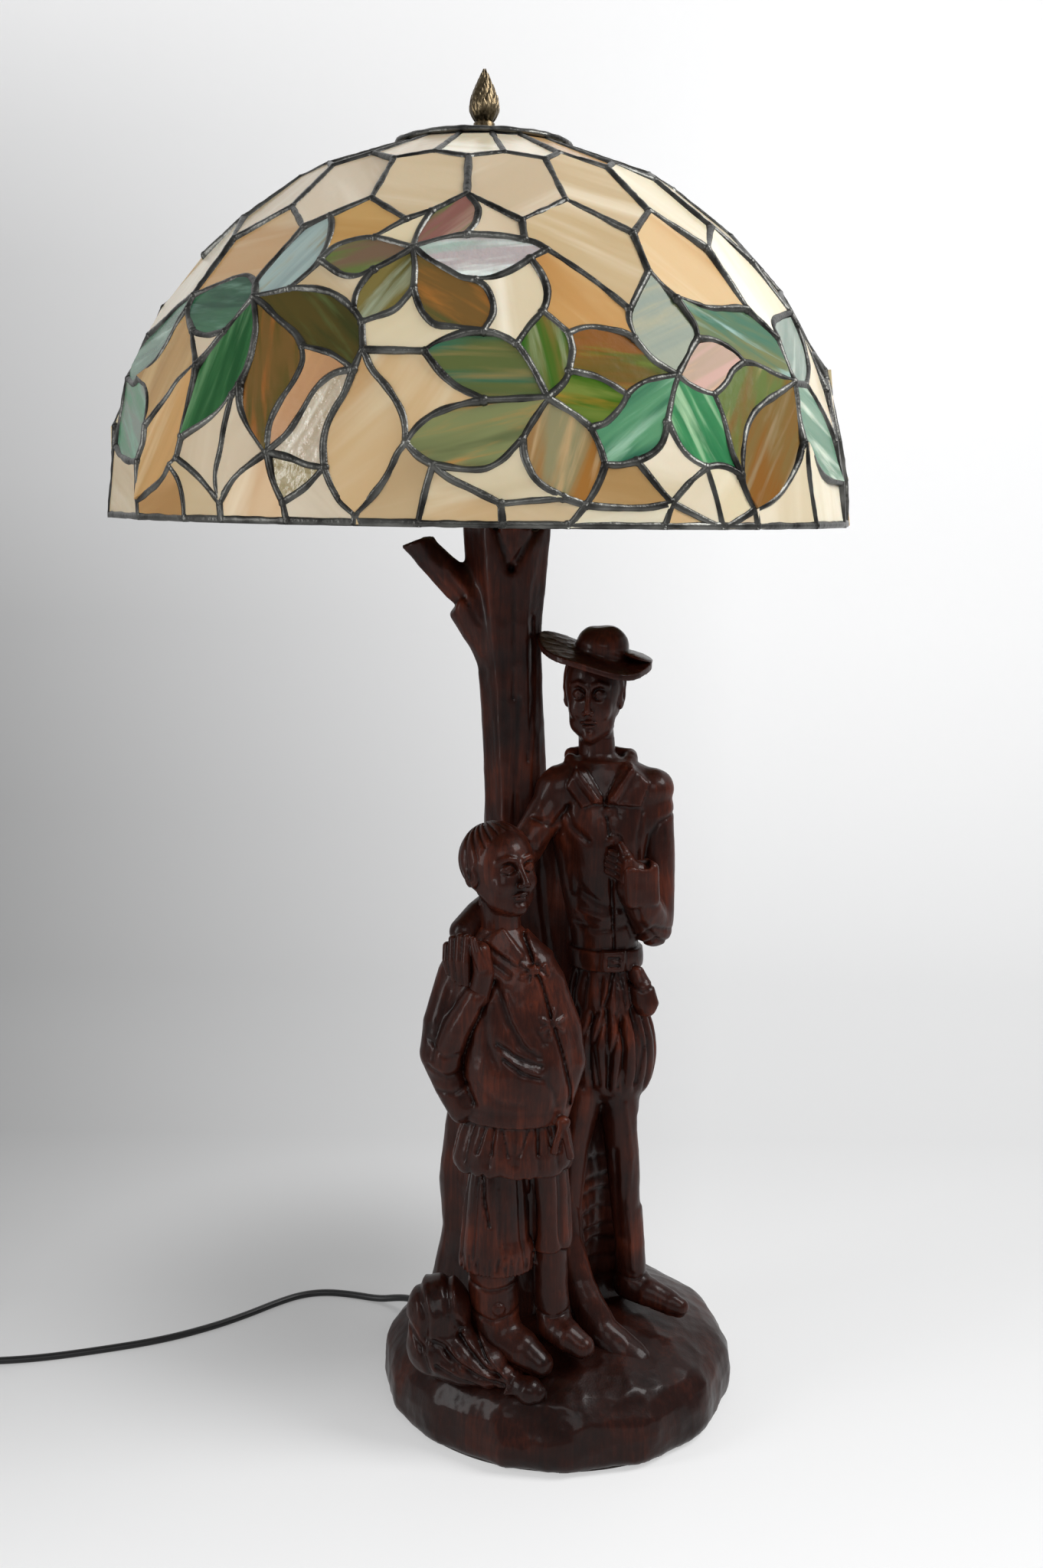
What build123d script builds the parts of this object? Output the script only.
from build123d import *
from math import atan2, cos, hypot, pi, radians, sin, sqrt, tan
import os

# Figural table lamp: a leaded-glass dome on a carved wooden tree trunk with two
# carved wayfarers.  Millimetres, +Z up, origin on the floor under the shade's axis;
# the front of the lamp faces -Y.
os.makedirs("parts", exist_ok=True)

# ---------------------------------------------------------------- driving dimensions
# shade
rim_z = 580.0              # height of the shade's bottom edge
shade_radius = 225.0       # radius of the middle of the glass, a hemisphere
crown_angle = 77.0         # latitude of the opening at the top
glass_thickness = 3.0
foil_depth = 4.8           # soldered foil, measured through the shade
foil_edge = 0.7            # foil behind the edge of each pane
foil_lip = 2.2             # half the width of a seam
glass_play = 0.2           # pane to foil
# metalwork
rod_radius = 5.0           # M10 hollow rod
rod_bore = 3.4
rod_play = 0.3
sleeve_radius = 8.0
seat_radius = 12.0
seat_height = 6.0
seat_play = 0.2
cluster_radius = 20.0
cluster_height = 30.0
cluster_wall = 2.5
cluster_z = 654.0          # middle of the cluster body
arm_lift = 18.0            # the lampholders point this far above level
holder_radius = 19.0
holder_length = 48.0
holder_start = 34.0        # from the cluster's middle, along the arm
bulb_cap_radius = 13.3
bulb_cap_length = 25.0
bulb_radius = 22.5
bulb_length = 72.0         # from the mouth of the holder to the tip
bulb_play = 0.5
flange_thickness = 1.2
flange_overlap = 3.2
ring_wall = 2.0
ring_drop = 9.0
cap_rise = 7.4             # the cap carries on the curve of the shade
cap_wall = 1.4
nut_radius = 9.0
nut_height = 6.0
finial_radius = 9.2
finial_height = 36.4
rod_into_finial = 11.0
rod_into_trunk = 40.0
# carving
felt_thickness = 3.0
felt_inset = 6.0
base_x, base_y = 57.5, -2.0
base_radius = 117.0
base_top = 72.0
trunk_top = 577.5
bore_radius = 4.5          # wiring bore in the wood
channel_width = 9.0
# cord
cord_diameter = 5.0
cord_lift = 0.1
cord_exit_angle = 140.0    # round the base, from +X
cord_exit_z = 12.0
bushing_radius = 6.5
bushing_out = 5.0
bushing_in = 12.0
bushing_play = 0.2
coil_radius = 37.0
coil_step = 5.6            # a turn lies this far inside the last
coil_layer = 5.6
coil_halves = 6            # half turns in each layer
# switch on the cord
switch_length, switch_width, switch_height = 62.0, 26.0, 16.0
switch_wall = 2.0
switch_x, switch_y = -394.0, -2.0
rocker_reach = 9.3
rocker_width = 9.0
rocker_play = 0.4
rocker_tilt = 12.0
pin_radius = 1.2
# plug
plug_length, plug_width, plug_height = 34.0, 30.0, 13.7
plug_pin_radius, plug_pin_length, plug_pin_gap = 2.0, 19.0, 18.6

# ---------------------------------------------------------------- pattern of the shade
# The seams run between these points (longitude from the front, latitude above the rim,
# degrees), and the pattern repeats twice round.
REPEAT = 180.0
POINTS = dict(
    U0=(-85.5, 59.5), U1=(-67, 59.8), U2=(-46.5, 60), U3=(-23.9, 59.9), U4=(-2.6, 59.8),
    U5=(18.5, 59.7), U6=(37.5, 59.2), U7=(57.5, 58.8), U8=(76.5, 59.3),
    T0=(-76.5, 62.6), T1=(-57, 62.8), T2=(-36, 63.3), T3=(-13, 62), T4=(7.5, 61.7),
    T5=(25, 62.7), T6=(44, 61.8), T7=(66.5, 62.2), T8=(85.5, 62.4),
    K0=(-76.5, crown_angle), K1=(-57, crown_angle), K2=(-36, crown_angle),
    K3=(-14, crown_angle), K4=(6.5, crown_angle), K5=(25, crown_angle),
    K6=(45, crown_angle), K7=(66, crown_angle), K8=(85.5, crown_angle),
    V0=(-84, 48), V1=(-64, 48.5), V2=(-42.2, 48.3), V3=(-21.6, 48.4), V4=(-1.8, 48.6),
    V5=(18.2, 48.3), V6=(37.3, 47.7), V7=(57, 46.9), V8=(76.5, 48),
    W0=(-73, 42), W1=(-54.5, 42.8), W2=(-33.1, 42.8), W3=(-12.4, 43.2), W4=(8.5, 43.2),
    W5=(29.5, 42.2), W6=(47.2, 41.3), W7=(64, 40.8), W8=(86, 42),
    N0=(-53, 32), P0=(-53, 30), N1=(-35.6, 30.4), P1=(-48.6, 26.4), P2=(-40, 25.8),
    N2=(-43.7, 20.9), J1=(-33.8, 18), N3=(-43.6, 11.2), N4=(-44.3, 8.3), J2=(-24.3, 23),
    N5=(-27.2, 9), N6=(-17.4, 28.2), J3=(-14.8, 22.2), J4=(-15.8, 19.6), J5=(-28.4, 44.7),
    J6=(-25.6, 36.1), J7=(-29.5, 31.7), N7=(-9.8, 37.6), J8=(-15.7, 34.3),
    J9=(-15.7, 26.3), J10=(-8.8, 31.2), J11=(.4, 32.7), J12=(1.7, 24.9), N8=(12, 37.8),
    J14=(8.5, 39.6), J15=(-1.2, 40.4), J16=(-8.1, 44.9), J17=(9.1, 36.2),
    N9=(29.1, 35.2), N10=(23.5, 28.9), N11=(10.2, 28), J18=(13.7, 25), J19=(23.4, 24.7),
    N12=(10.1, 16.2), J20=(6.2, 23.4), J21=(13.3, 19.9), J22=(-6.2, 22.2),
    J23=(1.8, 15.8), N13=(-8, 10.3), J24=(-4.5, 7.6), J25=(6.8, 11), J26=(11.9, 3.8),
    J27=(15.8, 12.6), J28=(17.5, 8), N14=(14.8, 2.9), J29=(21.1, 17), N15=(29.2, 19.8),
    J30=(21.9, 8.5), J31=(26.8, 13.6), J32=(32.4, 7.9), J33=(35.2, 17.6), J34=(38.3, 7),
    J35=(34.4, 25.3), J36=(42.6, 22.5), N16=(41, 2.6), J37=(32.5, 31), J38=(48.5, 30.9),
    N17=(53.9, 20.2), J39=(53.5, 11.8), J41=(59.5, 20.3), J42=(66, 31.8), J43=(54, 26.8),
    N18=(68.5, 6.5), J44=(67, 12.3), J45=(66.5, 29.8), N19=(-63, 20.2),
    J46=(-54.5, 12.9), J47=(-55.2, 7.9), N20=(-54.7, 2.6), J48=(-45.6, 7.4),
    N21=(-35, 2.7), J49=(-34.6, 16.6), J51=(-24.6, 2.7), J52=(-18.8, 7.1),
    N22=(-14.4, 1.5), N23=(26.8, 3.3), J53=(4.1, 2.9), J54=(-17.1, 40), L1=(69.7, 20),
    X1=(-71, 27.3), X2=(-72.5, 20.4), X4=(-69, 10.3), N24=(88, 24), Y1=(86, 37.5),
    Y2=(102.5, 32.5), Y3=(101.5, 13.5), Y4=(84.5, 7), Y5=(73.5, 22),
    R0=(-75, 0), R1=(-54.5, 0), R2=(-42.2, 0), R3=(-34.7, 0), R4=(-24, 0),
    R5=(-14.4, 0), R6=(-6.4, 0), R7=(4.3, 0), R8=(12.5, 0), R9=(25.8, 0),
    R10=(35.2, 0), R11=(41.8, 0), R12=(57.5, 0), R13=(72, 0), R14=(83, 0), R15=(97, 0))

SEAMS = [
    ("N0", "W1"), ("N0", "P0"), ("P0", "P1", (-51.4, 28.3)),
    ("N1", "N0", (-36.8, 32.6), (-39.3, 34.2), (-41.8, 34.8), (-45.5, 34.3), (-49.5, 33.3)),
    ("P1", "P2", (-46.8, 25.8), (-43.5, 25.4)), ("P1", "N2", (-46.6, 24.1)),
    ("N1", "P2", (-38.6, 27.3)), ("P2", "N2", (-42.3, 23)),
    ("N1", "J1", (-33.9, 27), (-33.3, 24.3), (-33.3, 21)), ("J1", "J49"),
    ("J49", "N3", (-36.2, 14.9), (-39, 13.2)), ("N2", "N3", (-43.7, 16)), ("N3", "N4"),
    ("N4", "J48"), ("J48", "N20", (-48.5, 5.1)), ("J48", "R2", (-43.4, 5.2), (-42.4, 2.5)),
    ("N4", "N21", (-40, 6.2), (-37.4, 4.5)), ("N21", "R3"),
    ("N21", "J49", (-36, 6), (-35.6, 9.5), (-35.3, 12.9)),
    ("N2", "J46", (-47.5, 19), (-49.4, 17.2), (-51.9, 15.2)), ("J46", "J47", (-54.4, 10.5)),
    ("J47", "N20"), ("N20", "R1"), ("N0", "X1", (-59.5, 31.2), (-64.5, 29.6)),
    ("X1", "X2", (-74, 25), (-74.5, 22.5)), ("P0", "N19", (-55.1, 27.8), (-56.1, 25.2), (-58.2, 22.5)),
    ("N19", "J46", (-59, 18.9), (-56.4, 17), (-55, 14.9)), ("X2", "N19", (-67, 19.5)),
    ("X2", "X4", (-71.3, 17), (-70.5, 13.5)), ("X4", "J47", (-65.5, 9), (-60, 8.1)),
    ("X4", "R0"), ("J1", "N5", (-33, 15.1), (-31.1, 12.6), (-28.9, 10.5)),
    ("N1", "J2", (-33, 29.2), (-30, 27.3), (-26.2, 25)),
    ("J2", "N5", (-23.8, 21), (-24.7, 18.4), (-26.4, 15.5), (-27.4, 12.5)),
    ("N1", "J7", (-33, 30.9)), ("J7", "N6", (-27.3, 31.8), (-24.4, 31.6), (-21.7, 30.9), (-19.2, 29.6)),
    ("N6", "J9"), ("J9", "J3", (-15.3, 24.3)), ("J3", "J4"),
    ("J2", "J4", (-22.2, 22.6), (-19.7, 21.9), (-17.6, 20.8)),
    ("J4", "N5", (-18.2, 19.3), (-20, 18.3), (-21.5, 16.7), (-22.9, 14.1), (-24.6, 11.4)),
    ("J4", "J52", (-16.8, 16.7), (-17.9, 14.8), (-18.9, 12.5), (-19.2, 10)),
    ("N5", "J52", (-23.9, 8.4), (-21.3, 7.5)), ("N5", "J51", (-26.3, 5.6)),
    ("J51", "J52", (-21.5, 4.6)), ("J51", "R4"), ("J52", "N22", (-17.8, 5), (-16.3, 3)),
    ("N22", "R5"), ("N5", "N21", (-30, 7.5), (-32.6, 5.7)),
    ("J3", "N13", (-13.3, 19.7), (-11.2, 17.6), (-9.7, 15.7), (-8.7, 14), (-8.2, 12.2)),
    ("N13", "N22", (-9, 9), (-9.9, 7.1), (-10.9, 5.4), (-12.5, 3.4)), ("J3", "J22"),
    ("N1", "W2", (-37.1, 33.3), (-35.8, 37.6), (-34.4, 40.5)),
    ("J5", "J6", (-27.2, 43.2), (-26.3, 41.2), (-25.7, 38.7)),
    ("J6", "J7", (-26.6, 34.9), (-28.2, 33)), ("J6", "J54", (-24, 38.5), (-21.4, 39.6), (-19.2, 40)),
    ("J54", "N7", (-15, 39.5), (-12.2, 38.6)), ("J6", "J8", (-23.3, 34.9), (-20.6, 33.6), (-18, 33.4)),
    ("J8", "N7", (-13, 35.9)), ("J54", "W3"), ("J8", "N6", (-17, 32.3), (-17.6, 30.2)),
    ("J9", "J10", (-13.9, 27), (-11.4, 28), (-9.9, 29.6)), ("J10", "N7", (-9, 34.4)),
    ("J10", "J12", (-7.8, 29), (-6.6, 27.2), (-4.9, 25.9), (-2.2, 25.5)),
    ("N7", "J11", (-7.4, 36.1), (-4.3, 34.5), (-1.7, 33.2)),
    ("J11", "J12", (1.9, 31.7), (2.9, 29.6), (3, 27.4)), ("N7", "J15", (-7.5, 38.7), (-4.6, 39.8)),
    ("J15", "J14", (1.5, 40.5), (5, 40.3)), ("J14", "N8", (10.3, 39)),
    ("J11", "J17", (3, 33.1), (5.9, 34.3)), ("J17", "N8"), ("J16", "N7", (-9.3, 42), (-9.8, 39.8)),
    ("V4", "J15", (.2, 46.3), (.6, 44.8), (.1, 42.4)), ("W4", "J14"), ("W5", "N9"),
    ("N9", "N10"), ("N10", "N8", (19.8, 32.6), (16.2, 35.3)),
    ("J17", "N11", (10.5, 34), (11.2, 31.7), (10.9, 29.6)), ("N11", "J18", (12, 26.6)),
    ("J18", "J19", (15.5, 25.8), (17.6, 26.1), (20, 25.9), (22, 25.5)), ("N10", "J19", (23.1, 27)),
    ("N11", "J20", (8.2, 26)), ("J20", "N12", (7.5, 21.7), (8.9, 19)), ("J18", "J21", (14, 22.6)),
    ("J21", "N12", (12.4, 18.3)), ("J22", "J12", (-4.7, 23.3), (-2.7, 24.2), (-.7, 24.8)),
    ("J12", "J20", (4, 24.6)), ("J22", "J23", (-4.8, 20.4), (-3.2, 18.7), (-1.2, 17.2)),
    ("J23", "N12"), ("J23", "N13", (-.2, 15.5), (-2.4, 14.9), (-4.7, 13.9), (-6.6, 12.4)),
    ("N13", "J24", (-6.4, 8.7)), ("J24", "J25", (-2.3, 7.3), (0, 7.1), (2.2, 7.3), (4.2, 8.4), (5.6, 9.8)),
    ("J25", "N12", (7.8, 12.8)), ("J21", "J29", (15, 19.7), (16.9, 19.3), (18.9, 18.4)),
    ("J29", "N15", (22.6, 18.1), (25, 19.1)), ("J19", "N15", (24.7, 23.3), (26.1, 21.7)),
    ("J29", "J27", (20.4, 15.8), (19.1, 14.4), (17.6, 13.2)), ("N12", "J27", (12, 15.2), (14, 14)),
    ("J27", "J28", (16.8, 10.4)), ("J25", "J26", (6.9, 9.3), (7.4, 7.8), (8.3, 6.2), (9.8, 4.9)),
    ("J28", "N14", (16.9, 6.4), (15.9, 4.5)), ("J26", "N14"), ("J28", "J30", (19.6, 8)),
    ("J30", "J31", (24, 9.4), (25.6, 10.7), (26.4, 12.2)), ("J31", "N15", (27.4, 15.4), (28.3, 18)),
    ("J31", "J32", (27.6, 12), (28.6, 10.4), (30.1, 9)), ("N15", "J33", (31, 18.8), (33.2, 18)),
    ("J33", "J34", (36.2, 15), (36.7, 12.3), (37, 10)), ("J32", "J34", (34.8, 8.2), (36.8, 7.8)),
    ("N15", "J35", (31.4, 22.2), (33, 24)), ("J35", "J36", (36.9, 25.5), (39.2, 25), (41.3, 23.9)),
    ("J36", "J33", (40, 21.2), (38.4, 19.7), (36.9, 18.6)), ("N9", "J37", (31, 33)),
    ("J37", "J35", (33.6, 29.1), (34.5, 27.2)),
    ("J37", "J38", (35.6, 30.7), (39, 30.4), (43, 30.7), (46.3, 31)), ("J38", "J43", (51.6, 29)),
    ("J43", "N17", (54.2, 24.5), (54.1, 22.4)), ("J36", "N17", (45, 22.5), (47.4, 21.9), (50, 21)),
    ("N17", "J34", (49.4, 18.5), (46, 17.2), (43, 15.6), (40.8, 13.4), (39.5, 11), (38.7, 9)),
    ("J34", "N16", (38.9, 5.6), (39.8, 4.1)), ("N17", "J39", (54, 17.8), (53.8, 15)),
    ("J39", "N16", (52, 9.4), (50.2, 7.4), (47.5, 5.2), (44.6, 3.7)),
    ("J43", "J42", (54.8, 28.6), (57, 30), (61, 31)), ("J42", "J45"),
    ("J45", "J41", (66, 26.8), (63.8, 23.2)), ("J41", "N17", (56.5, 20.2)),
    ("J41", "J44", (62.5, 18.2), (65.3, 15.5)), ("J44", "N18", (67.4, 9.3)),
    ("J39", "N18", (55.2, 10.8), (57.2, 9), (60, 7.5), (63.8, 6.7)),
    ("J45", "L1", (68.8, 24.8)), ("L1", "J44", (68.8, 16)), ("L1", "Y5"),
    ("J39", "R12", (54.1, 8.4), (55.6, 4.3)), ("N18", "R13"), ("W7", "J42", (65.5, 36.5)),
    ("W6", "J38"), ("N14", "N23", (18, 2.7), (23, 2.7)), ("N14", "R8"), ("N23", "R9"),
    ("N23", "R10"), ("J32", "R10", (34, 4)), ("N16", "R10", (38.4, 1.4)), ("N16", "R11"),
    ("J32", "N23", (29.7, 6)), ("J30", "N23", (23.4, 6.9), (25.2, 4.9)),
    ("J24", "R6", (-5.3, 4.9)), ("J24", "J53", (-2.4, 6), (0, 4.9)), ("J53", "R7"),
    ("J53", "J26", (8, 3.4)), ("W2", "J5"), ("J5", "V3"), ("W3", "J16"), ("J16", "V4"),
    ("N24", "Y1", (84.2, 28.5), (83, 33)), ("Y1", "N24", (90, 33.5), (90.2, 28.5)),
    ("Y1", "W8"), ("N24", "Y2", (92.5, 29), (97, 32)), ("Y2", "N24", (99, 27.8), (94, 25)),
    ("Y2", "W0"), ("Y2", "X1"), ("N24", "Y3", (94, 21.5), (98.8, 18)),
    ("Y3", "N24", (96, 13.8), (91.3, 17.5)), ("Y3", "X2"), ("Y3", "R15", (99, 6)),
    ("N24", "Y4", (83.3, 18.5), (81.5, 12)), ("Y4", "N24", (88.3, 11.5), (88.6, 17.5)),
    ("Y4", "R14"), ("N24", "Y5", (83.5, 26.6), (77.5, 25.8)),
    ("Y5", "N24", (78.3, 20.2), (84, 20.8)), ("J42", "Y1", (75.5, 35.6)),
    ("Y1", "Y2", (94.5, 36.6)), ("Y5", "N18", (71.5, 14)), ("Y4", "Y3", (93, 9))]
BANDS = 9                  # cells of the honeycomb round one repeat
for i in range(BANDS):
    j = (i + 1) % BANDS
    SEAMS += [(f"U{i}", f"T{i}"), (f"T{i}", f"U{j}"), (f"T{i}", f"K{i}"),
              (f"U{i}", f"V{i}"), (f"K{i}", f"K{j}")]
    SEAMS += {2: [("V2", "W2")], 3: [("V3", "W3")]}.get(i, [(f"V{i}", f"W{i}"), (f"W{i}", f"V{j}")])
SEAMS += [(f"R{i}", f"R{(i + 1) % 16}") for i in range(16)]

# A point inside each pane that isn't plain cream.
TINTS = dict(
    green=[(-45, 30), (-40, 18), (0, 20.5), (23, 13), (31.5, 13), (45, 27), (10, 22), (86, 32), (95, 17)],
    olive=[(-29.5, 19), (-22, 27), (-18, 37), (-13, 31), (-3, 29.5), (19, 22), (17, 16.5),
           (0, 11.5), (12, 9), (37, 21.5), (43, 19), (48, 11), (29, 27), (95, 29), (85.5, 14)],
    teal=[(-31, 39), (-62, 26), (-62, 14), (60, 26), (62, 12), (-4, 44), (80, 23.5)],
    pearl=[(2, 37), (-19.5, 13.5), (-22, 7)],
    amber=[(-24, 43), (15, 31), (-21.5, 19), (-54, 23), (-50, 12), (20, 5), (-50.5, 3)])


def wrap(turn):
    return (turn + REPEAT / 2) % REPEAT - REPEAT / 2


def pane_outlines():
    """Walk round every pane of one repeat, counter-clockwise seen from outside."""
    halves, leaving, panes = [], {}, []
    for a, b, *mid in SEAMS:
        line = [POINTS[a], *mid, POINTS[b]]
        steps = [(wrap(q[0] - p[0]), q[1] - p[1]) for p, q in zip(line, line[1:])]
        for start, end, run in ((a, b, steps), (b, a, [(-u, -v) for u, v in reversed(steps)])):
            leaving.setdefault(start, []).append(len(halves))
            halves.append((start, end, run))
    for name, out in leaving.items():
        c = cos(radians(POINTS[name][1]))
        out.sort(key=lambda k: atan2(halves[k][2][0][1], halves[k][2][0][0] * c))
    done = set()
    for first in range(len(halves)):
        k, loop, total = first, [], 0.0
        x, y = POINTS[halves[k][0]]
        while k not in done:
            done.add(k)
            for u, v in halves[k][2]:
                loop.append((x, y))
                x, y, total = x + u, y + v, total + u
            out = leaving[halves[k][1]]
            k = out[(out.index(k ^ 1) - 1) % len(out)]
        if loop and abs(total) < 1:
            panes.append(loop)
    return panes


def inside(point, loop):
    x, y = point
    hit = False
    for (x1, y1), (x2, y2) in zip(loop, loop[1:] + loop[:1]):
        if (y1 > y) != (y2 > y) and x < x1 + (y - y1) * (x2 - x1) / (y2 - y1):
            hit = not hit
    return hit


def tint_of(loop):
    for tint, spots in TINTS.items():
        if any(inside((x + s, y), loop) for x, y in spots for s in (-REPEAT, 0, REPEAT)):
            return tint
    return "cream"


def inset(points, amount):
    """Move every side of a flat outline inwards, dropping sides that vanish."""
    sides = []
    for (x1, y1), (x2, y2) in zip(points, points[1:] + points[:1]):
        size = hypot(x2 - x1, y2 - y1)
        ux, uy = (x2 - x1) / size, (y2 - y1) / size
        sides.append((x1 - uy * amount, y1 + ux * amount, ux, uy))
    while True:
        corners = []
        for (ax, ay, au, av), (bx, by, bu, bv) in zip(sides[-1:] + sides[:-1], sides):
            turn = au * bv - av * bu
            if abs(turn) < 0.02:
                corners.append((bx, by))
            else:
                t = ((bx - ax) * bv - (by - ay) * bu) / turn
                corners.append((ax + au * t, ay + av * t))
        lengths = [(q[0] - p[0]) * s[2] + (q[1] - p[1]) * s[3]
                   for p, q, s in zip(corners, corners[1:] + corners[:1], sides)]
        if min(lengths) > 0.15:
            return corners
        sides.pop(lengths.index(min(lengths)))


centre = Vector(0, 0, rim_z)


def on_dome(longitude, latitude):
    u, v = radians(longitude), radians(latitude)
    return Vector(cos(v) * sin(u), -cos(v) * cos(u), sin(v))


class Pane:
    """One flat pane: the plane that fits its corners best, and its outline there."""

    def __init__(self, loop, turn):
        rays = [on_dome(x + turn, y) for x, y in loop]
        normal = Vector(0, 0, 0)
        for p, q in zip(rays, rays[1:] + rays[:1]):
            normal += p.cross(q)
        self.normal = normal.normalized()
        self.depth = shade_radius * sum(r.dot(self.normal) for r in rays) / len(rays)
        side = Vector(0, 0, 1).cross(self.normal).normalized()
        up = self.normal.cross(side)
        self.side = side
        self.outline = [(r.dot(side) * self.depth / r.dot(self.normal),
                         r.dot(up) * self.depth / r.dot(self.normal)) for r in rays]
        self.reach = max((foil_depth / 2 + self.depth) / r.dot(self.normal) * r.Z for r in rays)

    def slab(self, edge, low, high, mode=Mode.ADD):
        """A slice between two levels; its sides all point at the dome's centre."""
        outline = inset(self.outline, edge) if edge else self.outline
        rings = []
        for level in (low, high):
            plane = Plane(centre + self.normal * (self.depth + level), self.side, self.normal)
            k = (self.depth + level) / self.depth
            rings.append([plane.from_local_coords((x * k, y * k)) for x, y in outline])
        near, far = rings
        sides = [[near[i - 1], near[i], far[i], far[i - 1]] for i in range(len(outline))]
        add(Solid(Shell([Face(Wire.make_polygon(ring)) for ring in (near, far, *sides)])), mode=mode)


def foil_frame(pane):
    with BuildPart() as frame:
        pane.slab(0, -foil_depth / 2, foil_depth / 2)
        half = glass_thickness / 2 + glass_play
        pane.slab(foil_edge, -half, half, Mode.SUBTRACT)
        pane.slab(foil_lip, -foil_depth, foil_depth, Mode.SUBTRACT)
    return frame.part.solids()[0]


def glass_pane(pane):
    with BuildPart() as glass:
        pane.slab(foil_edge + glass_play, -glass_thickness / 2, glass_thickness / 2)
    return glass.part.solids()[0]


tinted, frames, crown_top = {}, [], 0.0
for loop in pane_outlines():
    tint = tint_of(loop)
    for turn in (0.0, REPEAT):
        pane = Pane(loop, turn)
        crown_top = max(crown_top, rim_z + pane.reach)
        frames.append(foil_frame(pane))
        tinted.setdefault(tint, []).append(glass_pane(pane))
print("panes", len(frames), {t: len(p) for t, p in tinted.items()}, "crown", round(crown_top, 2))

leading = Compound(label="shade_leading", children=frames)
export_step(leading, "parts/shade_leading.step", write_pcurves=False)
for tint, solids in tinted.items():
    glass = Compound(label=f"glass_{tint}", children=solids)
    export_step(glass, f"parts/glass_{tint}.step", write_pcurves=False)


# ---------------------------------------------------------------- shapes used below
def lathe(origin, along, outline, mode=Mode.ADD):
    """Turn an outline of (distance along, radius) about a line."""
    along = Vector(*along)
    with BuildSketch(Plane(origin, along, along.cross(Vector(0, 1, 0)))) as half:
        Polygon(*outline, align=None)
    revolve(half.sketch, axis=Axis(origin, along), mode=mode)


def stack(sections, mode=Mode.ADD):
    """Loft through level ellipses (z, x, y, half width, half depth)."""
    levels = []
    for z, x, y, rx, ry in sections:
        with BuildSketch(Plane.XY.offset(z)) as level:
            with Locations((x, y)):
                Ellipse(rx, ry)
        levels.append(level.sketch)
    loft(levels, mode=mode)


def cone(a, b, first, last, mode=Mode.ADD):
    """Straight taper between two points."""
    along = Vector(*b) - Vector(*a)
    ends = []
    for point, radius in ((a, first), (b, last)):
        with BuildSketch(Plane(point, z_dir=along)) as end:
            Circle(radius)
        ends.append(end.sketch)
    loft(ends, ruled=True, mode=mode)


def limb(points, mode=Mode.ADD):
    """Round-ended taper through (x, y, z, radius)."""
    for x, y, z, r in points:
        with Locations((x, y, z)):
            Sphere(r, mode=mode)
    for (x, y, z, r), (u, v, w, s) in zip(points, points[1:]):
        cone((x, y, z), (u, v, w), r, s, mode)


def tube(points, radii, radius, mode=Mode.ADD):
    """Sweep a circle along straight runs joined by tangent arcs."""
    with BuildLine() as path:
        FilletPolyline(*points, radius=radii)
    with BuildSketch(Plane(points[0], z_dir=Vector(*points[1]) - Vector(*points[0]))) as end:
        Circle(radius)
    route = path.wire()
    sweep(end.sketch, path=route, mode=mode)
    return route.length


def bends(points):
    """The largest arc that each corner's two runs allow."""
    radii = []
    for a, b, c in zip(points, points[1:], points[2:]):
        p, q = Vector(*b) - Vector(*a), Vector(*c) - Vector(*b)
        radii.append(0.45 * min(p.length, q.length) / tan(radians(p.get_angle(q)) / 2))
    return radii


# ---------------------------------------------------------------- top of the shade
open_radius = shade_radius * cos(radians(crown_angle))
flange_radius = open_radius + flange_overlap
ring_radius = (shade_radius - foil_depth) * cos(radians(crown_angle)) - 1.6
flange_z = crown_top + seat_play
cap_z = flange_z + flange_thickness
cap_top = cap_z + cap_rise

with BuildPart() as crown_ring:
    lathe((0, 0, 0), (0, 0, 1), [
        (flange_z - ring_drop, ring_radius - ring_wall), (flange_z - ring_drop, ring_radius),
        (flange_z, ring_radius), (flange_z, flange_radius), (cap_z, flange_radius),
        (cap_z, ring_radius - ring_wall)])
crown_ring.part.label = "crown_ring"
export_step(crown_ring.part, "parts/crown_ring.step")

cap_bore = rod_radius + rod_play
cap_profile = [(k / 10, 1 - (k / 10) ** 2) for k in (10, 9, 8, 6, 4, 2)]    # share of radius, of rise
with BuildPart() as shade_cap:
    outer = [(cap_z + h * cap_rise, k * flange_radius) for k, h in cap_profile]
    inner = [(cap_z + h * (cap_rise - cap_wall), k * flange_radius - cap_wall) for k, h in cap_profile]
    lathe((0, 0, 0), (0, 0, 1), [*outer, (cap_top, cap_bore), (cap_top - cap_wall, cap_bore),
                                 (cap_top - cap_wall, nut_radius + 1.5), *inner[::-1]])
shade_cap.part.label = "shade_cap"
export_step(shade_cap.part, "parts/shade_cap.step")

nut_z = cap_top - cap_wall - nut_height
with BuildPart() as lock_nut:
    with BuildSketch(Plane.XY.offset(nut_z)):
        RegularPolygon(nut_radius, 6)
        Circle(rod_radius + rod_play / 2, mode=Mode.SUBTRACT)
    extrude(amount=nut_height)
lock_nut.part.label = "lock_nut"
export_step(lock_nut.part, "parts/lock_nut.step")

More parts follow.
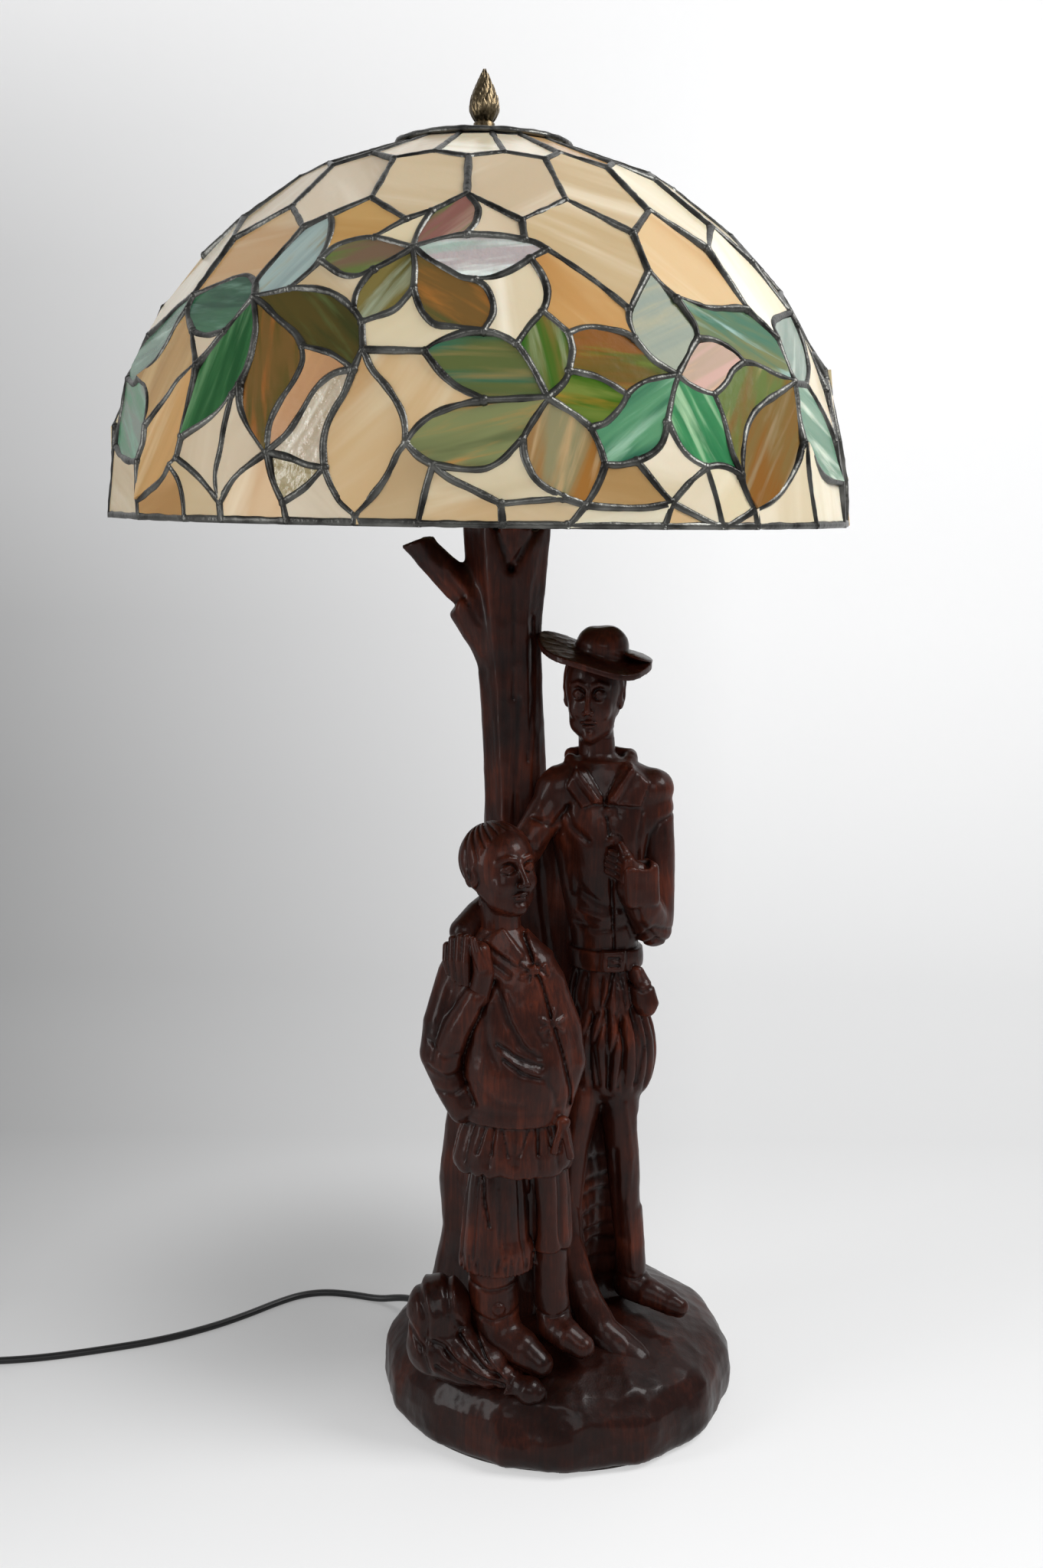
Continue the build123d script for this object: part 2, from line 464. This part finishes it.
finial_z = cap_top + seat_play
with BuildPart() as finial:
    bud = [(0, 0.74), (0.06, 0.75), (0.16, 0.68), (0.24, 0.85), (0.33, 0.98), (0.41, 1.0),
           (0.55, 0.88), (0.7, 0.64), (0.84, 0.38), (0.94, 0.18), (1.0, 0.06)]
    outline = [(finial_z + h * finial_height, k * finial_radius) for h, k in bud]
    lathe((0, 0, 0), (0, 0, 1), [(finial_z, 0), *outline, (finial_z + finial_height, 0)])
    with BuildSketch(Plane.XY.offset(finial_z)):
        Circle(rod_radius + rod_play)
    extrude(amount=rod_into_finial + 1, mode=Mode.SUBTRACT)
finial.part.label = "finial"
export_step(finial.part, "parts/finial.step")

# ---------------------------------------------------------------- riser and lampholders
cluster_low = cluster_z - cluster_height / 2
cluster_high = cluster_z + cluster_height / 2
seat_z = trunk_top + seat_play


def hollow_rod(name, low, high):
    with BuildPart() as rod:
        with BuildSketch(Plane.XY.offset(low)):
            Circle(rod_radius)
            Circle(rod_bore, mode=Mode.SUBTRACT)
        extrude(amount=high - low)
    rod.part.label = name
    export_step(rod.part, f"parts/{name}.step")


def sleeve(name, low, high, radius):
    with BuildPart() as ring:
        with BuildSketch(Plane.XY.offset(low)):
            Circle(radius)
            Circle(rod_radius + rod_play / 2, mode=Mode.SUBTRACT)
        extrude(amount=high - low)
        chamfer(ring.edges().filter_by(GeomType.CIRCLE).group_by(Axis.Z)[-1].sort_by(SortBy.RADIUS)[-1], 0.8)
    ring.part.label = name
    export_step(ring.part, f"parts/{name}.step")


hollow_rod("lower_rod", trunk_top - rod_into_trunk, cluster_low + cluster_wall + 5)
hollow_rod("upper_rod", cluster_high - cluster_wall - 5, finial_z + rod_into_finial)
sleeve("seat_ring", seat_z, seat_z + seat_height, seat_radius)
sleeve("lower_riser", seat_z + seat_height, cluster_low, sleeve_radius)
sleeve("upper_riser", cluster_high, nut_z, sleeve_radius)

lift = radians(arm_lift)
arms = {"left": Vector(-cos(lift), 0, sin(lift)), "right": Vector(cos(lift), 0, sin(lift))}
hub = Vector(0, 0, cluster_z)
with BuildPart() as cluster_body:
    with BuildSketch(Plane.XY.offset(cluster_low)):
        Circle(cluster_radius)
    extrude(amount=cluster_height - cluster_wall)
    with BuildSketch(Plane.XY.offset(cluster_low + cluster_wall)):
        Circle(cluster_radius - cluster_wall)
    extrude(amount=cluster_height, mode=Mode.SUBTRACT)
    with BuildSketch(Plane.XY.offset(cluster_low)):
        Circle(rod_radius + rod_play / 2)
    extrude(amount=cluster_wall, mode=Mode.SUBTRACT)
    for arm in arms.values():
        with BuildSketch(Plane(hub, z_dir=arm)):
            Circle(rod_radius + rod_play / 2)
        extrude(amount=cluster_radius * 2, mode=Mode.SUBTRACT)
cluster_body.part.label = "cluster_body"
export_step(cluster_body.part, "parts/cluster_body.step")

with BuildPart() as cluster_lid:
    with BuildSketch(Plane.XY.offset(cluster_high - cluster_wall)):
        Circle(cluster_radius - 0.5)
        Circle(rod_radius + rod_play / 2, mode=Mode.SUBTRACT)
    extrude(amount=cluster_wall)
cluster_lid.part.label = "cluster_lid"
export_step(cluster_lid.part, "parts/cluster_lid.step")

arm_start = cluster_radius - cluster_wall + 2
arm_end = holder_start + 9
mouth = holder_start + holder_length
for side, arm in arms.items():
    with BuildPart() as holder_arm:
        lathe(hub, arm, [(arm_start, rod_bore), (arm_start, rod_radius),
                         (arm_end, rod_radius), (arm_end, rod_bore)])
    holder_arm.part.label = f"holder_arm_{side}"
    export_step(holder_arm.part, f"parts/holder_arm_{side}.step")

    bore = bulb_cap_radius + bulb_play
    with BuildPart() as holder:
        lathe(hub, arm, [
            (holder_start, rod_radius + rod_play / 2), (holder_start, holder_radius * 0.55),
            (holder_start + 6, holder_radius * 0.62), (holder_start + 11, holder_radius * 0.96),
            (holder_start + 14, holder_radius), (mouth, holder_radius), (mouth, bore + 0.6),
            (mouth - 2, bore), (mouth - bulb_cap_length - 4, bore), (mouth - bulb_cap_length - 4, 4.0),
            (arm_end + 0.2, 4.0), (arm_end + 0.2, rod_radius + rod_play / 2)])
    holder.part.label = f"lampholder_{side}"
    export_step(holder.part, f"parts/lampholder_{side}.step")

    cap_low = mouth - bulb_cap_length - 1
    with BuildPart() as bulb_cap:
        lathe(hub, arm, [
            (cap_low, 0), (cap_low, 5), (cap_low + 2.5, 6), (cap_low + 6, bulb_cap_radius - 0.8),
            (mouth - 6, bulb_cap_radius - 0.8), (mouth - 5, bulb_cap_radius), (mouth + 1, bulb_cap_radius),
            (mouth + 1, 0)])
    bulb_cap.part.label = f"bulb_cap_{side}"
    export_step(bulb_cap.part, f"parts/bulb_cap_{side}.step")

    ball = mouth + bulb_length - bulb_radius
    neck = mouth + 1
    with BuildPart() as bulb_glass:
        across = Vector(0, 1, 0)
        meet = sqrt(bulb_radius ** 2 - (bulb_cap_radius + 3.2) ** 2)
        with BuildSketch(Plane(hub, arm, arm.cross(across))):
            with BuildLine():
                Polyline((ball + bulb_radius, 0), (neck, 0), (neck, bulb_cap_radius),
                         (neck + 12, bulb_cap_radius + 0.4), (ball - meet, bulb_cap_radius + 3.2))
                ThreePointArc((ball - meet, bulb_cap_radius + 3.2), (ball, bulb_radius),
                              (ball + bulb_radius, 0))
            make_face()
        revolve(axis=Axis(hub, arm))
    bulb_glass.part.label = f"bulb_glass_{side}"
    export_step(bulb_glass.part, f"parts/bulb_glass_{side}.step")

# ---------------------------------------------------------------- carving
exit_dir = Vector(cos(radians(cord_exit_angle)), sin(radians(cord_exit_angle)), 0)
exit_face = Vector(base_x, base_y, cord_exit_z) + exit_dir * base_radius
well_reach = 40.0              # foot of the wiring bore, from the mound's middle
well = Vector(base_x + exit_dir.X * well_reach, base_y + exit_dir.Y * well_reach, cord_exit_z)
elbow = (26.0, 5.0, 400.0)     # where the two bores meet
bore_top = (0.0, 0.0, trunk_top - rod_into_trunk)


def bore(a, b, radius):
    cone(a, b, radius, radius, Mode.SUBTRACT)


bottom = felt_thickness
mound = [(bottom, -5), (bottom + 5, 0), (34, 0), (45, -11), (56, -31), (65, -58), (base_top, -85)]
with BuildPart() as base_mound:
    lathe((base_x, base_y, 0), (0, 0, 1),
          [(bottom, 0), *[(z, base_radius + r) for z, r in mound], (base_top, 0)])
    # slot for the cord under the mound, and the well at its end
    slot_start = Vector(well.X, well.Y, bottom)
    slot_run = exit_face - well
    slot_end = slot_run.length - bushing_in - 1
    with BuildSketch(Plane(slot_start, x_dir=slot_run, z_dir=(0, 0, 1))):
        with Locations((slot_end / 2, 0)):
            Rectangle(slot_end + channel_width, channel_width)
    extrude(amount=cord_exit_z - bottom + channel_width / 2, mode=Mode.SUBTRACT)
    bore(well, elbow, bore_radius)
    with BuildSketch(Plane(exit_face + exit_dir * 4, z_dir=-exit_dir)):
        Circle(bushing_radius - 1.5 + bushing_play)
    extrude(amount=bushing_in + 6, mode=Mode.SUBTRACT)
    with BuildSketch(Plane(exit_face + exit_dir * 4, z_dir=-exit_dir)):
        Circle(bushing_radius + bushing_play)
    extrude(amount=6, mode=Mode.SUBTRACT)
base_mound.part.label = "base_mound"
export_step(base_mound.part, "parts/base_mound.step")

with BuildPart() as felt_pad:
    with BuildSketch():
        with Locations((base_x, base_y)):
            Circle(base_radius - felt_inset)
    extrude(amount=felt_thickness)
felt_pad.part.label = "felt_pad"
export_step(felt_pad.part, "parts/felt_pad.step")

# trunk: level sections, the sawn branch on the left, the root in front
trunk_sections = [
    (base_top - 34, 38, 0, 64, 56), (96, 37, 0, 56, 47), (150, 36.5, 0, 57, 42), (192, 34, 0, 52, 38),
    (245, 31, 2, 39, 32), (315, 27.5, 5, 27, 27), (385, 25.2, 8, 20.5, 24), (435, 23.6, 8, 20.5, 23),
    (482, 20.5, 7, 20.5, 23), (515, 18, 6, 22.2, 24), (548, 17, 4, 26.5, 25), (trunk_top, 16.5, 2, 28.8, 26)]
branch = [(8, 3, 520, 16.5), (-36, 1, 562, 11)]
root = [(52, -22, 205, 11), (66, -40, 135, 10), (80, -56, 98, 12), (104, -64, 66, 17)]
with BuildPart() as tree_trunk:
    stack(trunk_sections)
    cone(branch[0][:3], branch[1][:3], branch[0][3], branch[1][3])
    limb(root)
    add(base_mound.part, mode=Mode.SUBTRACT)
    bore(bore_top, elbow, bore_radius)
    with Locations(elbow):
        Sphere(bore_radius, mode=Mode.SUBTRACT)
    bore(elbow, well, bore_radius)
    with BuildSketch(Plane.XY.offset(trunk_top)):
        Circle(rod_radius + rod_play / 2)
    extrude(amount=-rod_into_trunk, mode=Mode.SUBTRACT)
tree_trunk.part.label = "tree_trunk"
export_step(tree_trunk.part, "parts/tree_trunk.step")

# tall wayfarer beside the trunk: hat, head, coat, legs, one hand at the chest
# and the other arm behind the companion
brim = Plane((72.5, -14, 497), z_dir=(sin(radians(12.7)), 0, cos(radians(12.7))))
with BuildPart() as tall_figure:
    stack([(206, 87, -17, 17, 16), (224, 86, -17, 25, 22), (247, 84, -18, 33, 28), (272, 84, -18, 29, 26),
           (303, 83.5, -17, 21, 19), (340, 82, -17, 26, 21), (380, 81, -17, 32, 22), (412, 82, -16, 37, 18),
           (430, 79, -14, 24, 13)])
    limb([(78, -12, 418, 12), (75, -13, 440, 11)])
    with BuildSketch(Plane((74, -14, 460), x_dir=(0, 0, 1), z_dir=(0, 1, 0))):
        with BuildLine():
            Line((-30, 0), (30, 0))
            EllipticalCenterArc((0, 0), 30, 18.5, start_angle=0, arc_size=180)
        make_face()
    revolve(axis=Axis((74, -14, 460), (0, 0, 1)))
    with BuildSketch(brim.offset(-2.5)):
        Circle(36)
    extrude(amount=5)
    with BuildSketch(brim.offset(-9)):
        Circle(17.5)
    with BuildSketch(brim.offset(2)):
        Circle(20)
    with BuildSketch(brim.offset(22)):
        Circle(15.5)
    loft(ruled=True)
    limb([(110, -16, 410, 14.5), (113, -22, 328, 12.5), (96, -40, 372, 8.5)])
    limb([(50, -20, 412, 13), (18, -36, 368, 11), (-10, -58, 322, 9)])
    limb([(96, -26, 214, 15), (100, -28, 140, 12), (105, -26, 88, 11), (129, -32, 82, 10)])
    limb([(72, -32, 214, 14), (68, -38, 140, 12), (66, -38, 84, 11)])
    add(base_mound.part, mode=Mode.SUBTRACT)
    add(tree_trunk.part, mode=Mode.SUBTRACT)
tall_figure.part.label = "tall_figure"
export_step(tall_figure.part, "parts/tall_figure.step")

# short wayfarer in front: bare head, belted tunic, breeches, boots
with BuildPart() as short_figure:
    stack([(170, 24, -72, 30, 24), (188, 25, -72, 38.5, 27), (222, 28.5, -71, 33.5, 24), (262, 26, -70, 36, 24),
           (298, 17, -68, 36, 22), (318, 16, -66, 31, 19), (332, 16, -64, 17, 13)])
    limb([(16, -64, 330, 12), (16, -65, 346, 12)])
    with BuildSketch(Plane((16.5, -66, 371), x_dir=(0, 0, 1), z_dir=(0, 1, 0))):
        with BuildLine():
            Line((-28, 0), (28, 0))
            EllipticalCenterArc((0, 0), 28, 21, start_angle=0, arc_size=180)
        make_face()
    revolve(axis=Axis((16.5, -66, 371), (0, 0, 1)))
    limb([(-11, -66, 306, 12), (-18, -76, 254, 11.5), (2, -94, 236, 8.5)])
    limb([(43, -68, 302, 12), (57, -78, 250, 11.5), (34, -98, 240, 8.5)])
    limb([(9, -71, 180, 17), (8, -72, 122, 14), (9, -72, 84, 11), (8, -94, 72, 10.5)])
    limb([(42, -72, 180, 17), (46, -75, 124, 14), (52, -76, 86, 11), (53, -98, 74, 10.5)])
    for other in (base_mound, tree_trunk, tall_figure):
        add(other.part, mode=Mode.SUBTRACT)
short_figure.part.label = "short_figure"
export_step(short_figure.part, "parts/short_figure.step")

# tied sack at their feet
with BuildPart() as bundle:
    limb([(-21, -76, 90, 21), (-20, -78, 66, 21), (2, -86, 66, 16), (22, -98, 56, 8), (36, -104, 50, 10)])
    for other in (base_mound, tree_trunk, short_figure):
        add(other.part, mode=Mode.SUBTRACT)
bundle.part.label = "bundle"
export_step(bundle.part, "parts/bundle.step")

# ---------------------------------------------------------------- cord and what is on it
cord_radius = cord_diameter / 2
floor = cord_radius + cord_lift


def cord_run(name, points):
    points = [Vector(*p) for p in points]
    radii = bends(points)
    with BuildPart() as run:
        length = tube(points, radii, cord_radius)
    ideal = pi * cord_radius ** 2 * length
    print(name, "length", round(length, 1), "volume ratio", round(run.part.volume / ideal, 5),
          "radii", [round(r, 1) for r in radii])
    run.part.label = name
    export_step(run.part, f"parts/{name}.step")


with BuildPart() as cord_bushing:
    lathe(exit_face, exit_dir, [
        (-bushing_in, cord_radius + .1), (-bushing_in, bushing_radius - 1.5), (1.2, bushing_radius - 1.5),
        (1.2, bushing_radius), (bushing_out - 1, bushing_radius), (bushing_out, bushing_radius - 1),
        (bushing_out, cord_radius + .1)])
cord_bushing.part.label = "cord_bushing"
export_step(cord_bushing.part, "parts/cord_bushing.step")

gland = exit_face + exit_dir * bushing_out
inner_points = [gland, well, Vector(*elbow), Vector(*bore_top), Vector(0, 0, cluster_low + 8)]
with BuildPart() as inner_cord:
    tube(inner_points, [9.0, 60.0, 60.0], cord_radius)
inner_cord.part.label = "inner_cord"
export_step(inner_cord.part, "parts/inner_cord.step")

switch_right = switch_x + switch_length / 2
switch_left = switch_x - switch_length / 2
entry_z = 6.0
cord_run("cord_lead", [
    gland, gland + exit_dir * 14, (-57.5, 95, 8), (-73, 102.5, floor), (-93, 109, floor), (-114, 112.5, floor),
    (-132, 107.5, floor), (-148, 95, floor), (-166, 77, floor), (-189, 57.5, floor), (-221, 37.5, floor),
    (-262, 22, floor), (-304, 9, floor), (-341, switch_y, entry_z), (switch_right, switch_y, entry_z)])

# coil of the spare cord: half turns that wind in, climb a layer and wind out again
coil_x, coil_y = -480.0, coil_radius + switch_y + 2
half_turns = ([(coil_radius - k * coil_step / 2, 0.0) for k in range(coil_halves)]
              + [(coil_radius - coil_halves * coil_step / 2, coil_layer)]
              + [(coil_radius - k * coil_step / 2, 0.0) for k in range(coil_halves - 1, -1, -1)])


def biarc(p, t, q, u):
    """Two arcs from p heading t to q heading u."""
    v, w = q - p, t + u
    k = 2 * (1 - t.dot(u))
    d = (sqrt(v.dot(w) ** 2 + k * v.dot(v)) - v.dot(w)) / k
    middle = (p + t * d + q - u * d) * 0.5
    TangentArc(p, middle, tangent=t)
    TangentArc(q, middle, tangent=-u)


start = Vector(coil_x, coil_y - coil_radius, floor)
spots = []                  # places a quarter turn apart: point, heading
y, z, front = start.Y, floor, True
for radius, climb in half_turns:
    way = 1 if front else -1
    slope = 1.5 * climb / (pi * radius)
    spots.append((Vector(coil_x, y, z), Vector(-way, 0, 0)))
    spots.append((Vector(coil_x - way * radius, y + way * radius, z + climb / 2),
                  Vector(0, way, slope).normalized()))
    y, z, front = y + way * 2 * radius, z + climb, not front
spots.append((Vector(coil_x, y, z), Vector(-1 if front else 1, 0, 0)))
finish = spots[-1][0] + spots[-1][1] * cord_diameter
with BuildPart() as cord_coil:
    with BuildLine() as path:
        Line(start + Vector(cord_diameter, 0, 0), start)
        for (p, t), (q, u) in zip(spots, spots[1:]):
            biarc(p, t, q, u)
        Line(spots[-1][0], finish)
    with BuildSketch(Plane(start + Vector(cord_diameter, 0, 0), z_dir=(-1, 0, 0))):
        Circle(cord_radius)
    sweep()
coil = path.wire()
track = [coil @ (i / 1400) for i in range(1401)]
pitch = coil.length / 1400
skip = int(6 * cord_radius / pitch)
clear = min((a - b).length for i, a in enumerate(track) for b in track[i + skip:]) - cord_diameter
print("cord_coil length", round(coil.length, 1), "least gap", round(clear, 2), "volume ratio",
      round(cord_coil.part.volume / (pi * cord_radius ** 2 * coil.length), 5), cord_coil.part.is_valid)
cord_coil.part.label = "cord_coil"
export_step(cord_coil.part, "parts/cord_coil.step")

coil_entry = start + Vector(cord_diameter, 0, 0)
cord_run("cord_middle", [
    (switch_left, switch_y, entry_z), (switch_left - 12, switch_y, entry_z),
    (switch_left - 25, switch_y - 2, 3.6), (coil_entry.X + 11, coil_entry.Y, floor), coil_entry])
plug_z = plug_height / 2 + .1
plug_rear = Vector(finish.X + 50, finish.Y - 1, plug_z)
cord_run("cord_tail", [
    finish, finish + Vector(12, 0, 0), finish + Vector(25, 1.5, -1), plug_rear - Vector(12, 0, 0), plug_rear])

# switch: two half shells, a rocker on a pin
switch_plane = Plane((switch_x, switch_y, .1))
joint_z = switch_height / 2
pivot_z = 9.0


def switch_block(height, margin, mode=Mode.ADD, low=0.0):
    with BuildSketch(switch_plane.offset(low)) as outline:
        RectangleRounded(switch_length - 2 * margin, switch_width - 2 * margin, 8 - margin)
    extrude(outline.sketch, amount=height, mode=mode)


with BuildPart() as switch_base:
    switch_block(joint_z, 0)
    switch_block(joint_z, switch_wall, Mode.SUBTRACT, switch_wall)
    chamfer(switch_base.faces().sort_by(Axis.Z)[0].outer_wire().edges(), 1.0)
switch_base.part.label = "switch_base"
export_step(switch_base.part, "parts/switch_base.step")

opening = 2 * (rocker_reach + 2.4)
with BuildPart() as switch_cover:
    switch_block(switch_height - joint_z, 0, low=joint_z)
    chamfer(switch_cover.faces().sort_by(Axis.Z)[-1].outer_wire().edges(), 1.6)
    switch_block(switch_height - joint_z - switch_wall, switch_wall, Mode.SUBTRACT, joint_z)
    with BuildSketch(switch_plane.offset(joint_z)):
        with Locations((0, 7.4), (0, -7.4)):
            Rectangle(8, 4)
    extrude(amount=switch_height - joint_z - 1)
    with BuildSketch(switch_plane.offset(joint_z)):
        Rectangle(opening, rocker_width + 2 * rocker_play)
    extrude(amount=switch_height, mode=Mode.SUBTRACT)
    with BuildSketch(Plane((switch_x, switch_y + 9, pivot_z + .1), z_dir=(0, -1, 0))):
        Circle(pin_radius + .05)
    extrude(amount=18, mode=Mode.SUBTRACT)
switch_cover.part.label = "switch_cover"
export_step(switch_cover.part, "parts/switch_cover.step")

rocker_plane = Plane((switch_x, switch_y + rocker_width / 2, pivot_z + .1),
                     x_dir=(cos(radians(rocker_tilt)), 0, sin(radians(rocker_tilt))), z_dir=(0, -1, 0))
with BuildPart() as switch_rocker:
    with BuildSketch(rocker_plane):
        Polygon((-rocker_reach, 9.1), (-4, 7.9), (0, 7.5), (4, 7.9), (rocker_reach, 9.1), (rocker_reach, 3),
                (6, -3.5), (-6, -3.5), (-rocker_reach, 3), align=None)
        Circle(pin_radius + .15, mode=Mode.SUBTRACT)
    extrude(amount=rocker_width)
switch_rocker.part.label = "switch_rocker"
export_step(switch_rocker.part, "parts/switch_rocker.step")

with BuildPart() as switch_pin:
    with BuildSketch(Plane((switch_x, switch_y + 9, pivot_z + .1), z_dir=(0, -1, 0))):
        Circle(pin_radius)
    extrude(amount=18)
switch_pin.part.label = "switch_pin"
export_step(switch_pin.part, "parts/switch_pin.step")

# plug with two round pins
with BuildPart() as plug_body:
    for along, width, height in ((0, .42, .7), (.55, .86, .98), (1, 1, 1)):
        place = Plane(plug_rear + Vector(plug_length * along, 0, 0), x_dir=(0, 1, 0), z_dir=(1, 0, 0))
        with BuildSketch(place):
            RectangleRounded(plug_width * width, plug_height * height, 3)
    loft(ruled=True)
    with BuildSketch(place):
        with Locations((-plug_pin_gap / 2, 0), (plug_pin_gap / 2, 0)):
            Circle(plug_pin_radius)
    extrude(amount=-8, mode=Mode.SUBTRACT)
plug_body.part.label = "plug_body"
export_step(plug_body.part, "parts/plug_body.step")

for number, offset_y in enumerate((-plug_pin_gap / 2, plug_pin_gap / 2), 1):
    with BuildPart() as plug_pin:
        with BuildSketch(Plane(plug_rear + Vector(plug_length - 8, offset_y, 0), z_dir=(1, 0, 0))):
            Circle(plug_pin_radius)
        extrude(amount=plug_pin_length + 8)
        fillet(plug_pin.edges().sort_by(Axis.X)[-1], plug_pin_radius * .6)
    plug_pin.part.label = f"plug_pin_{number}"
    export_step(plug_pin.part, f"parts/plug_pin_{number}.step")
